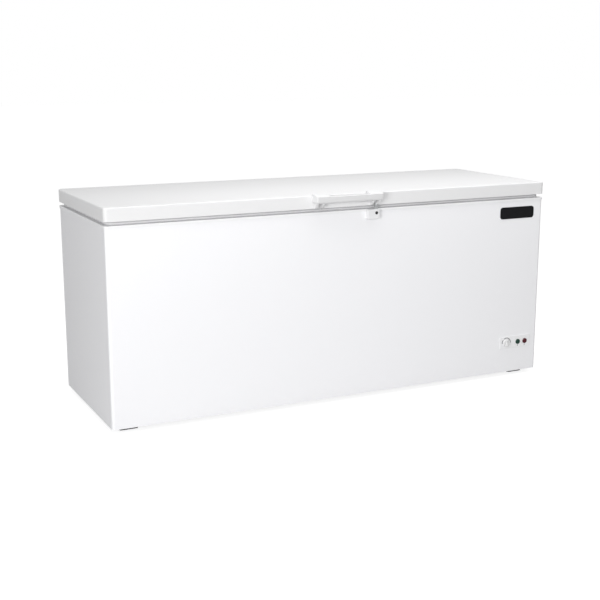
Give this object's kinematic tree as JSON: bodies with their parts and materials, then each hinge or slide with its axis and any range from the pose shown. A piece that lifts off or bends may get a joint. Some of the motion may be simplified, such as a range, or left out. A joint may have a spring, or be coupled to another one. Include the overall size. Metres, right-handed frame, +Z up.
{
  "type": "chest freezer",
  "caption": "White chest freezer with a rear-hinged insulated lid, bar handle, key lock, dial thermostat, indicator lamps, wire basket and drain, on low flat feet.",
  "frame": {"origin": "on the floor, under the middle of the overall box, which runs from the handle's nose to the hinge knuckles", "axes": "+X to the right seen from the front, +Y to the back, +Z up"},
  "size_m": [1.926, 0.73, 0.847],
  "materials": {
    "white_paint": "gloss",
    "white_rim": "satin",
    "lid_lining": "satin",
    "white_handle": "gloss",
    "liner_aluminium": "satin",
    "galvanised_sheet": "satin",
    "foam": "matte",
    "gasket_rubber": "matte",
    "magnet_strip": "matte",
    "zinc": "satin",
    "spring_steel": "satin",
    "lock_white": "gloss",
    "lock_black": "satin",
    "foot_plastic": "matte",
    "control_white": "satin",
    "knob_white": "gloss",
    "grey_plastic": "matte",
    "lamp_green": "gloss",
    "lamp_red": "gloss",
    "grille_white": "satin",
    "compressor_black": "satin",
    "copper": "satin",
    "tube_aluminium": "satin",
    "tube_steel": "satin",
    "black_rubber": "matte",
    "black_plastic": "matte",
    "basket_coat": "satin",
    "drain_white": "satin"
  },
  "bodies": {
    "cabinet": {"outer_wrapper": "white_paint", "back_panel": "galvanised_sheet", "base_tray": "galvanised_sheet", "foam_insulation": "foam", "inner_liner": "liner_aluminium", "top_frame": "white_rim", "bay_lining": "galvanised_sheet", "side_grille": "grille_white", "rear_cover": "galvanised_sheet", "rear_cover_screws": "zinc", "cord_gland": "black_rubber", "feet": "foot_plastic", "foot_screws": "zinc", "compressor": "compressor_black", "compressor_plate": "compressor_black", "compressor_grommets": "black_rubber", "compressor_bolts": "zinc", "relay_cover": "black_plastic", "discharge_pipe": "copper", "suction_pipe": "copper", "filter_drier": "copper", "capillary_pipe": "copper", "evaporator_coil": "tube_aluminium", "condenser_coil": "tube_steel", "control_bezel": "control_white", "thermostat_body": "grey_plastic", "power_lamp": "lamp_green", "alarm_lamp": "lamp_red", "lock_body": "lock_white", "drain_tube": "drain_white", "hinge_base_left": "zinc", "hinge_base_right": "zinc", "hinge_pin_left": "spring_steel", "hinge_pin_right": "spring_steel", "hinge_spring_left": "spring_steel", "hinge_spring_right": "spring_steel", "hinge_base_screws": "zinc"},
    "lid": {"lid_skin": "white_paint", "lid_panel": "lid_lining", "lid_foam": "foam", "lid_gasket": "gasket_rubber", "gasket_magnet": "magnet_strip", "handle": "white_handle", "handle_screws": "zinc", "lock_hook": "zinc", "hinge_leaf_left": "zinc", "hinge_leaf_right": "zinc", "hinge_leaf_screws": "zinc"},
    "thermostat_knob": {"thermostat_knob": "knob_white"},
    "lock_barrel": {"lock_barrel": "lock_black"},
    "basket": {"basket_floor": "basket_coat", "basket_front": "basket_coat", "basket_back": "basket_coat", "basket_left": "basket_coat", "basket_right": "basket_coat"},
    "drain_plug": {"drain_plug": "drain_white"}
  },
  "joints": [
    {"name": "lid_hinge", "type": "hinge", "parent": "cabinet", "child": "lid", "pos_m": [0, 0.354, 0.7825], "axis": [-1, 0, 0], "range_deg": [0, 80], "stiffness_Nm_per_rad": 18, "springref_deg": 85.94, "deforming": ["hinge_spring_left", "hinge_spring_right"]},
    {"name": "thermostat_turn", "type": "hinge", "parent": "cabinet", "child": "thermostat_knob", "pos_m": [0.8, -0.312, 0.15], "axis": [0, 1, 0], "range_deg": [0, 270]},
    {"name": "lock_turn", "type": "hinge", "parent": "cabinet", "child": "lock_barrel", "pos_m": [0.131, -0.312, 0.7605], "axis": [0, -1, 0], "range_deg": [0, 90]},
    {"name": "basket_slide", "type": "slide", "parent": "cabinet", "child": "basket", "axis": [-1, 0, 0], "range_m": [-0.07, 1.35]},
    {"name": "drain_plug_pull", "type": "slide", "parent": "cabinet", "child": "drain_plug", "axis": [0, 0, 1], "range_m": [0, 0.06]}
  ]
}
